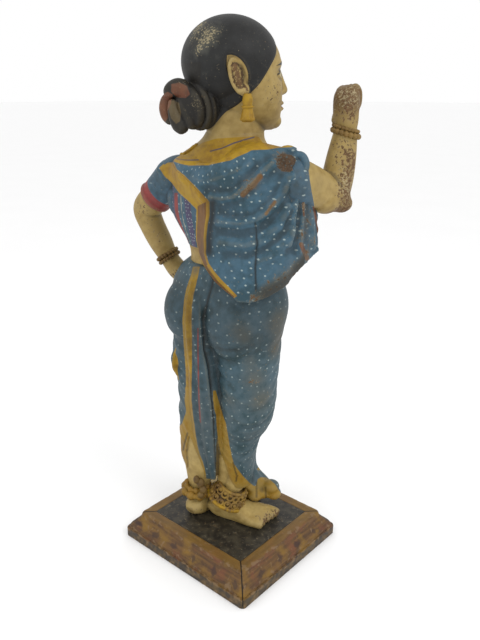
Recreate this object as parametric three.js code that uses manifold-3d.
// A carved and painted wooden female attendant, standing on a moulded plinth.
// Millimetres, +Z up. She faces -Y, so her right hand is on the -X side.
// The origin is the middle of the plinth's underside.
import * as THREE from "three";
import { mergeVertices } from "three/addons/utils/BufferGeometryUtils.js";
import Module from "manifold-3d";

const wasm = await Module();
wasm.setup();

// Driving sizes
const PLINTH_WIDTH = 220;
const PLINTH_DEPTH = 200;
const PLINTH_HEIGHT = 36.4;
const TOTAL_HEIGHT = 674;
const FILLET_HEIGHT = 13.4; // the plain strip under the moulding
const LEDGE = 2.5; // the small step on top of that strip
const MOULDING_SPREAD = 16; // how far the moulding spreads from its top edge to the floor
const FRAME_WIDTH = 15; // the flat rim round the black panel
const JOINT = 0.3; // open glue line between two pieces
const SOLE = PLINTH_HEIGHT + JOINT;

const HEAD_TURN = THREE.MathUtils.degToRad(36); // her head is turned to her right
const SKULL = { right: 0, front: 4, up: 626, across: 51, along: 54, above: TOTAL_HEIGHT - 626 };
const EAR_LEVEL = 612;

const SARI_BLUE = "#3f5f78";
const PANEL_BLACK = "#3a372f";
const MOULDING_OCHRE = "#7a5530";

// A point measured from the origin towards her right, her front and up.
function at(right, front, up) {
  return new THREE.Vector3(-right, -front, up);
}

// A closed mesh from rings of points, each ring seen turning the same way.
function skinOver(rings) {
  const sides = rings[0].length;
  const points = rings.flat();
  const middle = (ring) =>
    ring.reduce((sum, p) => sum.add(p), new THREE.Vector3()).divideScalar(sides);
  points.push(middle(rings[0]), middle(rings[rings.length - 1]));
  const faces = [];
  for (let i = 0; i + 1 < rings.length; i++) {
    for (let j = 0; j < sides; j++) {
      const k = (j + 1) % sides;
      const [a, b, c, d] = [i * sides + j, i * sides + k, (i + 1) * sides + k, (i + 1) * sides + j];
      faces.push(a, b, c, a, c, d);
    }
  }
  const top = (rings.length - 1) * sides;
  for (let j = 0; j < sides; j++) {
    const k = (j + 1) % sides;
    faces.push(points.length - 2, k, j);
    faces.push(points.length - 1, top + j, top + k);
  }
  return geometryOf(points, faces);
}

function geometryOf(points, faces) {
  const geometry = new THREE.BufferGeometry();
  geometry.setFromPoints(points);
  geometry.setIndex(faces);
  return geometry;
}

function solid(geometry) {
  const bare = geometry.clone();
  bare.deleteAttribute("normal");
  bare.deleteAttribute("uv");
  const merged = mergeVertices(bare, 1e-3);
  const mesh = new wasm.Mesh({
    numProp: 3,
    vertProperties: new Float32Array(merged.attributes.position.array),
    triVerts: new Uint32Array(merged.index.array),
  });
  return new wasm.Manifold(mesh);
}

function join(solids) {
  return solids.reduce((whole, next) => whole.add(next));
}

function geometryFrom(manifold) {
  const mesh = manifold.getMesh();
  const geometry = new THREE.BufferGeometry();
  geometry.setAttribute("position", new THREE.BufferAttribute(mesh.vertProperties, 3));
  geometry.setIndex(new THREE.BufferAttribute(mesh.triVerts, 1));
  return geometry;
}

function signedPower(value, power) {
  return Math.sign(value) * Math.abs(value) ** power;
}

// A rounded form swept through key sections. Each key is [right, front, up, across, fore, aft]:
// the section's middle, its half width and how far it reaches forwards and backwards of that middle.
// Level sections suit the body, and square ones (across the path) suit the limbs.
function loft(keys, { sides = 20, steps = 3, level = true, across = at(1, 0, 0), ripple, power = 1 }) {
  const curve = (points) => new THREE.CatmullRomCurve3(points, false, "catmullrom", 0.5);
  const path = curve(keys.map(([r, f, u]) => at(r, f, u)));
  const size = curve(keys.map((k) => new THREE.Vector3(k[3], k[4], k[5] ?? k[4])));
  const last = (keys.length - 1) * steps;
  const rings = [];
  for (let i = 0; i <= last; i++) {
    const t = i / last;
    const middle = path.getPoint(t);
    const reach = size.getPoint(t);
    const along = level ? at(0, 0, 1) : path.getTangent(t);
    const side = across.clone().addScaledVector(along, -across.dot(along)).normalize();
    const fore = new THREE.Vector3().crossVectors(along, side);
    const ring = [];
    for (let j = 0; j < sides; j++) {
      const angle = (2 * Math.PI * j) / sides;
      const depth = Math.sin(angle) > 0 ? reach.y : reach.z;
      const grow = ripple ? ripple(angle, t) : 0;
      const right = (reach.x + grow) * signedPower(Math.cos(angle), power);
      const front = (depth + grow) * signedPower(Math.sin(angle), power);
      ring.push(middle.clone().addScaledVector(side, right).addScaledVector(fore, front));
    }
    rings.push(ring);
  }
  return solid(skinOver(rings));
}

// A cloth laid over the body: a grid of outer points closed by a grid further in.
function slab(columns, rows, outer, inner) {
  const points = [];
  const faces = [];
  const across = columns + 1;
  const layer = across * (rows + 1);
  for (const surface of [outer, inner]) {
    for (let j = 0; j <= rows; j++) {
      for (let i = 0; i <= columns; i++) points.push(surface(i / columns, j / rows));
    }
  }
  const quad = (a, b, c, d) => faces.push(a, b, c, a, c, d);
  for (let j = 0; j < rows; j++) {
    for (let i = 0; i < columns; i++) {
      const a = j * across + i;
      quad(a, a + 1, a + across + 1, a + across);
      quad(layer + a, layer + a + across, layer + a + across + 1, layer + a + 1);
    }
  }
  for (let i = 0; i < columns; i++) {
    const top = rows * across + i;
    quad(i, layer + i, layer + i + 1, i + 1);
    quad(top, top + 1, layer + top + 1, layer + top);
  }
  for (let j = 0; j < rows; j++) {
    const low = j * across;
    const high = low + across;
    quad(low, high, layer + high, layer + low);
    quad(low + columns, layer + low + columns, layer + high + columns, high + columns);
  }
  const made = solid(geometryOf(points, faces));
  if (made.volume() > 0) return made;
  for (let i = 0; i < faces.length; i += 3) [faces[i + 1], faces[i + 2]] = [faces[i + 2], faces[i + 1]];
  return solid(geometryOf(points, faces));
}

function ball(right, front, up, across, fore, high, columns = 14, rows = 9) {
  const geometry = new THREE.SphereGeometry(1, columns, rows);
  geometry.rotateX(Math.PI / 2);
  geometry.scale(across, fore, high);
  geometry.translate(-right, -front, up);
  return solid(geometry);
}

// A ring such as a bangle: its plane faces along the axis given.
function hoop(middle, axis, radius, tube, { round = 14, thick = 5, beads = 0 } = {}) {
  const side = at(0, 0, 1).cross(axis).normalize();
  if (side.lengthSq() < 0.5) side.copy(at(1, 0, 0));
  const up = axis.clone().normalize();
  const other = up.clone().cross(side);
  const points = [];
  const faces = [];
  for (let i = 0; i < round; i++) {
    const a = (2 * Math.PI * i) / round;
    const swell = 1 + (beads ? 0.18 * Math.cos(beads * a) : 0);
    const out = side.clone().multiplyScalar(Math.cos(a)).addScaledVector(other, Math.sin(a));
    for (let j = 0; j < thick; j++) {
      const b = (2 * Math.PI * j) / thick;
      const p = middle.clone().addScaledVector(out, radius + tube * swell * Math.cos(b));
      points.push(p.addScaledVector(up, tube * swell * Math.sin(b)));
      const next = (i + 1) % round;
      const k = (j + 1) % thick;
      faces.push(i * thick + j, next * thick + j, next * thick + k);
      faces.push(i * thick + j, next * thick + k, i * thick + k);
    }
  }
  const made = solid(geometryOf(points, faces));
  if (made.volume() > 0) return made;
  for (let i = 0; i < faces.length; i += 3) [faces[i + 1], faces[i + 2]] = [faces[i + 2], faces[i + 1]];
  return solid(geometryOf(points, faces));
}

function smooth(from, to, value) {
  return THREE.MathUtils.smoothstep(value, Math.min(from, to), Math.max(from, to));
}

// A value read from [place, value] pairs by an even curve between them.
function along(pairs, place) {
  if (place <= pairs[0][0]) return pairs[0][1];
  for (let i = 1; i < pairs.length; i++) {
    const [x0, y0] = pairs[i - 1];
    const [x1, y1] = pairs[i];
    if (place <= x1) return THREE.MathUtils.lerp(y0, y1, (place - x0) / (x1 - x0));
  }
  return pairs[pairs.length - 1][1];
}

// The body under the cloth, from the hips to the neck
function torso() {
  return [
    loft(
      [
        [0, 0, 372, 66, 46, 50],
        [0, 0, 400, 51, 40, 42],
        [-3, 0, 423, 53, 40, 41],
        [-9, 1, 440, 63, 44, 43],
        [-10, 1, 457, 74, 47, 45],
        [-4, 2, 482, 79, 48, 48],
        [0, 3, 503, 84, 42, 45],
        [-2, 5, 520, 73, 34, 38],
        [-3, 8, 532, 56, 31, 34],
        [-2, 11, 543, 40, 32, 34],
        [0, 12, 556, 34, 33, 33],
        [0, 12, 585, 34, 34, 33],
      ],
      { sides: 18, steps: 1 },
    ),
    ball(29, 31, 472, 29, 27, 29, 10, 7),
    ball(-31, 31, 472, 29, 27, 29, 10, 7),
    // the side of the bodice under her left arm
    ball(-66, -5, 470, 20, 26, 26, 7, 5),
  ];
}

// Hips, the two wrapped legs and the seat
function sari() {
  const gathers = (angle, t) => 1.5 * Math.sin(40 * t + 2 * Math.sin(angle)) * smooth(0.05, 0.2, t);
  return [
    loft(
      [
        [0, 2, 250, 56, 44, 34],
        [-1, 2, 285, 66, 50, 44],
        [-1, 1, 320, 76, 56, 56],
        [0, 0, 350, 82, 58, 60],
        [0, 0, 374, 78, 54, 58],
        [0, 0, 390, 67, 50, 52],
        [0, 0, 401, 54, 43, 45],
      ],
      { sides: 18, steps: 1 },
    ),
    ball(33, -22, 332, 38, 43, 47, 12, 8),
    ball(-36, -22, 336, 39, 43, 47, 12, 8),
    // her right leg
    loft(
      [
        [5, 6, 84, 20, 24, 18],
        [5, 6, 106, 25, 26, 20],
        [13, 8, 132, 27, 28, 26],
        [17, 9, 158, 30, 31, 31],
        [24, 9, 185, 34, 34, 36],
        [27, 7, 215, 34, 36, 39],
        [28, 5, 252, 36, 39, 41],
        [30, 3, 290, 39, 42, 45],
        [31, 1, 332, 38, 41, 40],
      ],
      { sides: 14, steps: 2, ripple: gathers },
    ),
    // her left leg
    loft(
      [
        [-39, -16, 92, 24, 22, 15],
        [-45, -14, 112, 31, 26, 18],
        [-45, -11, 140, 32, 31, 24],
        [-43, -7, 180, 34, 36, 31],
        [-40, -4, 212, 36, 40, 36],
        [-41, -2, 250, 41, 43, 40],
        [-39, -1, 288, 43, 48, 46],
        [-34, 0, 332, 38, 41, 40],
      ],
      { sides: 14, steps: 2, ripple: gathers },
    ),
    tuckedBand(),
    frontPleats(),
  ];
}

const BAND_FOLD = 2.6; // height of the three folds down the band
const BAND_ROUNDING = 5; // how far its long edges turn in
const BAND_DEPTH = 1.15; // its hidden side lies just past her middle, as a share of its reach

// The end of the sari drawn between the legs and tucked in at the back of the waist
function tuckedBand() {
  const path = [
    [402, -8, 41, 7],
    [385, -6, 55, 10],
    [362, -3, 66, 14],
    [335, -1, 70, 16],
    [300, -3, 64, 17],
    [260, -7, 54, 17],
    [212, -10, 44, 16],
    [160, -13, 36, 13],
    [120, -15, 29, 9],
    [96, -16, 24, 6],
  ];
  const pick = (up, column) => along([...path].reverse().map((row) => [row[0], row[column]]), up);
  const height = (v) => THREE.MathUtils.lerp(96, 402, v);
  const surface = (depth) => (u, v) => {
    const up = height(v);
    const fold = BAND_FOLD * Math.cos(6 * Math.PI * u) * (1 - depth);
    const half = pick(up, 3);
    const rounding = BAND_ROUNDING * (2 * u - 1) ** 4 * (1 - depth);
    const back = pick(up, 2) * (1 - BAND_DEPTH * depth) + fold * (1 - depth) - rounding;
    return at(pick(up, 1) + half * (1 - 2 * u), -back, up);
  };
  return slab(8, 10, surface(0), surface(1));
}

// The gathered pleats that fall from the front of the waist to the ground
function frontPleats() {
  const flare = (t) => 1 - smooth(0, 0.35, t);
  return loft(
    [
      [15, 42, SOLE, 29, 25, 26],
      [15, 44, 58, 27, 23, 26],
      [6, 37, 78, 22, 17, 38],
      [-2, 32, 110, 19, 15, 40],
      [-1, 32, 180, 17, 16, 42],
      [-1, 34, 250, 17, 18, 44],
      [0, 38, 330, 15, 20, 30],
      [0, 33, 392, 12, 18, 22],
    ],
    { sides: 14, steps: 1, ripple: (angle, t) => (1.5 + 2 * flare(t)) * Math.cos(7 * angle) },
  );
}

// The loose end of the sari over her back and right shoulder.
// Its edges are read against the angle round her body, from her back (0) towards her right (90).
const SHAWL_FROM = -72;
const SHAWL_TO = 116;
const SHAWL_TOP = [
  [-72, 519], [-51, 526], [-14, 519], [12, 520], [30, 525], [58, 539], [75, 544], [94, 538], [116, 516],
];
const SHAWL_EDGE = [
  [-72, 511], [-41, 500], [-6, 489], [11, 476], [14, 446], [17, 416], [35, 392], [49, 371],
  [59, 372], [71, 378], [87, 391], [101, 408], [116, 418],
];
// Each row is an angle, then how far the cloth stands from her middle
// at its top edge, at the shoulder blades and at the hem.
const SHAWL_REACH = [
  [-72, 68, 78, 80],
  [-50, 52, 63, 68],
  [-14, 40, 53, 57],
  [14, 42, 54, 62],
  [40, 48, 66, 76],
  [60, 54, 82, 90],
  [80, 64, 98, 97],
  [98, 74, 104, 99],
  [116, 74, 106, 112],
];
const SHOULDER_BLADES = 496;
const FOLD_WIDTH = 34;
const FOLD_DEPTH = 2.6;
const FALL_WIDTH = 19; // degrees from one straight fold to the next
const SHAWL_INNER = 0.35; // how near her middle the hidden side of the slab lies, as a share

function shawl() {
  const reachAt = (angle, column) => along(SHAWL_REACH.map((row) => [row[0], row[column]]), angle);
  const surface = (share) => (u, v) => {
    const angle = THREE.MathUtils.lerp(SHAWL_FROM, SHAWL_TO, u);
    const low = along(SHAWL_EDGE, angle);
    const high = along(SHAWL_TOP, angle);
    const up = THREE.MathUtils.lerp(low, high, v);
    const [top, middle, hem] = [1, 2, 3].map((column) => reachAt(angle, column));
    let reach = THREE.MathUtils.lerp(hem, middle, smooth(380, SHOULDER_BLADES, up));
    if (up > SHOULDER_BLADES) {
      const rise = (up - SHOULDER_BLADES) / (high - SHOULDER_BLADES);
      reach = top + (middle - top) * Math.sqrt(1 - 0.98 * rise * rise);
    }
    // the folds hang in bows from the top of her right shoulder
    const away = Math.hypot(1.05 * (100 - angle), 0.9 * (high + 14 - up));
    const bows = smooth(-30, 25, angle) * smooth(20, 60, away) * (1 - 0.7 * smooth(95, 140, away));
    // and beside the arm they fall straight
    const falls = smooth(70, 88, angle) * (1 - smooth(490, 520, up));
    const wave = bows * Math.sin((2 * Math.PI * away) / FOLD_WIDTH) * (1 - falls);
    const straight = falls * Math.sin((2 * Math.PI * angle) / FALL_WIDTH);
    const out = share * (reach + FOLD_DEPTH * (wave + straight));
    const turn = THREE.MathUtils.degToRad(angle);
    return at(out * Math.sin(turn), -out * Math.cos(turn), up);
  };
  return slab(26, 8, surface(1), surface(SHAWL_INNER));
}

function leftArm() {
  return [
    loft(
      [
        [-60, -2, 503, 17, 20, 20],
        [-80, -6, 495, 25, 25],
        [-103, -9, 479, 21.5, 22],
        [-120, -11, 464, 19.5, 20],
        [-134, -12, 450, 18, 18],
        [-130, -9, 431, 16.5, 17],
        [-119, -4, 407, 15.5, 15.5],
        [-108, 1, 385, 13, 13],
        [-98, 6, 370, 13, 14],
        [-84, 12, 355, 10, 13],
      ],
      { sides: 12, steps: 1, level: false, across: at(0.3, 1, 0.2) },
    ),
    hoop(at(-109, 0, 388), at(25, 10, -40), 14, 4.2, { round: 14, thick: 4, beads: 7 }),
    hoop(at(-106, -10, 476), at(-20, -3, -17), 21.5, 3.4, { thick: 4 }),
  ];
}

function rightArm() {
  return [
    loft(
      [
        [66, 0, 506, 18, 20, 20],
        [84, 12, 502, 24, 26],
        [92, 40, 494, 21, 24],
        [96, 64, 486, 19, 21],
        [98, 80, 484, 20, 20],
        [100, 87, 498, 19.5, 19.5],
        [102, 88, 525, 18, 18.5],
        [103, 90, 553, 13.5, 13.5],
        [103, 90, 560, 11, 11],
      ],
      { sides: 12, steps: 1, level: false, across: at(1, 0.2, 0.1) },
    ),
    ball(102, 84, 479, 19, 19, 18, 8, 6),
    fist(),
    hoop(at(103, 90, 554.5), at(0.06, 0.04, 1).normalize(), 15.4, 4.2, { round: 14, thick: 4, beads: 7 }),
  ];
}

// Her raised right hand, closed, with the fingertips worn away
function fist() {
  const palm = loft(
    [
      [103, 90, 546, 10.5, 10.5],
      [103, 91, 562, 15, 16],
      [102, 92, 574, 17.5, 16],
      [102, 93, 588, 18, 15],
      [101, 94, 599, 15, 13],
      [100, 95, 604, 8, 7],
    ],
    { sides: 8, steps: 1, power: 0.85 },
  );
  const fingers = [0, 1, 2, 3].map((i) =>
    ball(92 + 6.6 * i, 103 - Math.abs(i - 1.5), 587 + 1.5 * Math.cos(i), 4.2, 7, 11, 5, 5),
  );
  return join([palm, ...fingers, ball(89, 95, 572, 6, 9, 13, 6, 5)]);
}

// Everything above the neck is made facing forwards, then turned
function head() {
  const { right, front, up, across, along: depth, above } = SKULL;
  const place = (r, f, u) => [right + r, front + f, EAR_LEVEL + u];
  const parts = [
    ball(right, front, up, across, depth, above, 16, 8),
    loft(
      [
        [...place(0, 38, -56), 9, 14, 14],
        [...place(0, 33, -51), 17, 24, 26],
        [...place(0, 24, -39), 30, 35, 42],
        [...place(0, 17, -21), 40, 42, 47],
        [...place(0, 13, 1), 45, 45, 50],
        [...place(0, 9, 23), 46, 46, 51],
        [...place(0, 5, 41), 38, 40, 42],
      ],
      { sides: 14, steps: 1 },
    ),
    nose(place),
    lips(place),
    ball(...place(0, 51, -50), 13, 10, 9, 6, 5),
    ...[-1, 1].flatMap((side) => ear(place, side)),
    ...bun(place),
  ];
  const turned = new THREE.Matrix4()
    .makeTranslation(-right, -front, 0)
    .multiply(new THREE.Matrix4().makeRotationZ(-HEAD_TURN))
    .multiply(new THREE.Matrix4().makeTranslation(right, front, 0));
  const geometry = geometryFrom(join(parts));
  geometry.applyMatrix4(turned);
  return [solid(geometry)];
}

function nose(place) {
  return loft(
    [
      [...place(0, 53, -20), 7, 9, 10],
      [...place(0, 54, -16), 8.5, 14, 10],
      [...place(0, 54, -7), 5, 10, 10],
      [...place(0, 52, 5), 3.6, 7, 10],
      [...place(0, 48, 15), 3.5, 6, 10],
    ],
    { sides: 8, steps: 1 },
  );
}

function lips(place) {
  return join([
    ball(...place(0, 55, -29), 10, 6, 2.8, 6, 5),
    ball(...place(0, 54, -34), 9, 6, 3.2, 6, 5),
  ]);
}

function ear(place, side) {
  const shell = ball(0, 0, 0, 5, 12.5, 23, 8, 6)
    .rotate([-12, 0, side * 26])
    .translate([-side * 50 - SKULL.right, 3 - SKULL.front, EAR_LEVEL - 3]);
  const pendant = ball(...place(side * 48, 8, -31), 6, 6, 15, 6, 5);
  return [shell, pendant];
}

// The hair knotted low at the back of the head: a coil, with loops over it
function bun(place) {
  const [r, f, u] = place(0, -38, -31);
  return [
    hoop(at(r, f, u), at(0, -1, -0.26).normalize(), 24, 8),
    ball(...place(0, -48, -33), 25, 22, 27, 8, 7),
    ball(...place(-3, -66, -28), 15, 14, 20, 8, 6),
    ball(...place(4, -58, -47), 12, 14, 17, 8, 6),
  ];
}

function necklace() {
  return [hoop(at(0, 9, 539.4), at(0, 0.22, 1).normalize(), 39, 4.2, { round: 18, thick: 4 })];
}

// A bare foot, from the heel to the toes, pointing along a heading given towards (right, front)
function foot(heel, heading, length) {
  const [r, f] = heel;
  const [dr, df] = heading;
  const go = (share, aside = 0) => {
    const ahead = length * share;
    return [r + dr * ahead - df * aside, f + df * ahead + dr * aside];
  };
  const across = at(-df, dr, 0);
  const key = (share, up, half, high, low) => [...go(share), up, half, low, high];
  const sole = SOLE;
  const body = loft(
    [
      key(-0.06, sole + 8, 7, 6, 6),
      key(0.03, sole + 11, 13, 12, 11),
      key(0.2, sole + 13, 14, 18, 13),
      key(0.42, sole + 11, 14.5, 15, 11),
      key(0.62, sole + 8.5, 17, 10.5, 8.5),
      key(0.8, sole + 7, 18, 7, 7),
      key(0.88, sole + 6, 17, 5, 6),
    ],
    { sides: 10, steps: 1, level: false, across, power: 0.8 },
  );
  const toes = [0, 1, 2, 3, 4].map((i) => {
    const aside = -13 + 6.6 * i;
    const [tr, tf] = go(0.93 - 0.035 * i, aside);
    return ball(tr, tf, sole + 5, i ? 4.2 : 5.4, 8, 5, 5, 4);
  });
  const floor = new THREE.BoxGeometry(400, 400, 60).translate(0, 0, sole - 30);
  return [join([body, ...toes]).subtract(solid(floor))];
}

function feet() {
  return [
    ...foot([-14, -14], [0.93, 0.37], 88),
    ...foot([-34, -26], [-0.1, 0.995], 86),
    loft(
      [
        [-6, -10, SOLE + 14, 13, 14],
        [-1, -6, SOLE + 34, 12, 13],
        [4, -1, 96, 17, 17],
      ],
      { sides: 12, steps: 1 },
    ),
    loft(
      [
        [-34, -20, SOLE + 14, 13, 13],
        [-36, -21, SOLE + 34, 12, 12],
        [-38, -20, 108, 18, 16],
      ],
      { sides: 12, steps: 1 },
    ),
    hoop(at(0, -5, 66), at(0.34, 0.1, 1).normalize(), 17, 6.5, { round: 16, beads: 8 }),
    hoop(at(-35, -21, 76), at(0, 0, 1), 15, 5, { round: 16, beads: 8 }),
  ];
}

// The plinth: a block with four moulded strips mitred round it
const TOP_WIDTH = PLINTH_WIDTH - 2 * MOULDING_SPREAD;
const TOP_DEPTH = PLINTH_DEPTH - 2 * MOULDING_SPREAD;
const BLOCK_WIDTH = TOP_WIDTH - 2 * FRAME_WIDTH;
const BLOCK_DEPTH = TOP_DEPTH - 2 * FRAME_WIDTH;

// The moulding's section, as [distance out from the block, height]
function mouldingSection() {
  const shape = new THREE.Shape();
  const outer = FRAME_WIDTH + MOULDING_SPREAD;
  const bead = 5;
  shape.moveTo(0, 0);
  shape.lineTo(outer - 2, 0);
  shape.quadraticCurveTo(outer, 0, outer, 2);
  shape.lineTo(outer, FILLET_HEIGHT - 2);
  shape.quadraticCurveTo(outer, FILLET_HEIGHT, outer - 2, FILLET_HEIGHT);
  shape.lineTo(outer - LEDGE, FILLET_HEIGHT);
  shape.bezierCurveTo(
    outer - LEDGE, FILLET_HEIGHT + 7,
    FRAME_WIDTH + 4, PLINTH_HEIGHT - bead - 7,
    FRAME_WIDTH + 1, PLINTH_HEIGHT - bead,
  );
  shape.quadraticCurveTo(FRAME_WIDTH, PLINTH_HEIGHT, FRAME_WIDTH - bead, PLINTH_HEIGHT);
  shape.lineTo(0, PLINTH_HEIGHT);
  shape.closePath();
  return shape.getPoints(3).slice(0, -1);
}

// One strip along a side whose block edge is `length` long, mitred at both ends
function strip(length) {
  const section = mouldingSection();
  const ring = (end) =>
    section.map((p) => {
      const out = p.x + JOINT;
      return new THREE.Vector3(end * (length / 2 + out - JOINT), -out, p.y);
    });
  const [first, second] = [ring(-1), ring(1)];
  const made = skinOver([first, second]);
  return solid(made).volume() > 0 ? made : skinOver([second, first]);
}

const statue = new THREE.Group();

function addPiece(name, geometry, colour, place = [0, 0, 0], turn = 0) {
  const material = new THREE.MeshStandardMaterial({ color: colour, roughness: 0.6, metalness: 0 });
  const piece = new THREE.Mesh(geometry, material);
  piece.name = name;
  piece.position.set(...place);
  piece.rotation.z = turn;
  statue.add(piece);
}

const figure = join([
  ...torso(),
  ...sari(),
  shawl(),
  ...leftArm(),
  ...rightArm(),
  ...head(),
  ...necklace(),
  ...feet(),
]);
addPiece("attendant_figure", geometryFrom(figure), SARI_BLUE);

const block = new THREE.BoxGeometry(BLOCK_WIDTH, BLOCK_DEPTH, PLINTH_HEIGHT);
block.translate(0, 0, PLINTH_HEIGHT / 2);
addPiece("plinth_block", block, PANEL_BLACK);
const sides = [
  ["front_moulding", BLOCK_WIDTH, BLOCK_DEPTH / 2, 0],
  ["left_moulding", BLOCK_DEPTH, BLOCK_WIDTH / 2, Math.PI / 2],
  ["back_moulding", BLOCK_WIDTH, BLOCK_DEPTH / 2, Math.PI],
  ["right_moulding", BLOCK_DEPTH, BLOCK_WIDTH / 2, -Math.PI / 2],
];
for (const [name, length, away, turn] of sides) {
  const place = [Math.sin(turn) * away, -Math.cos(turn) * away, 0];
  addPiece(name, strip(length), MOULDING_OCHRE, place, turn);
}

export default statue;
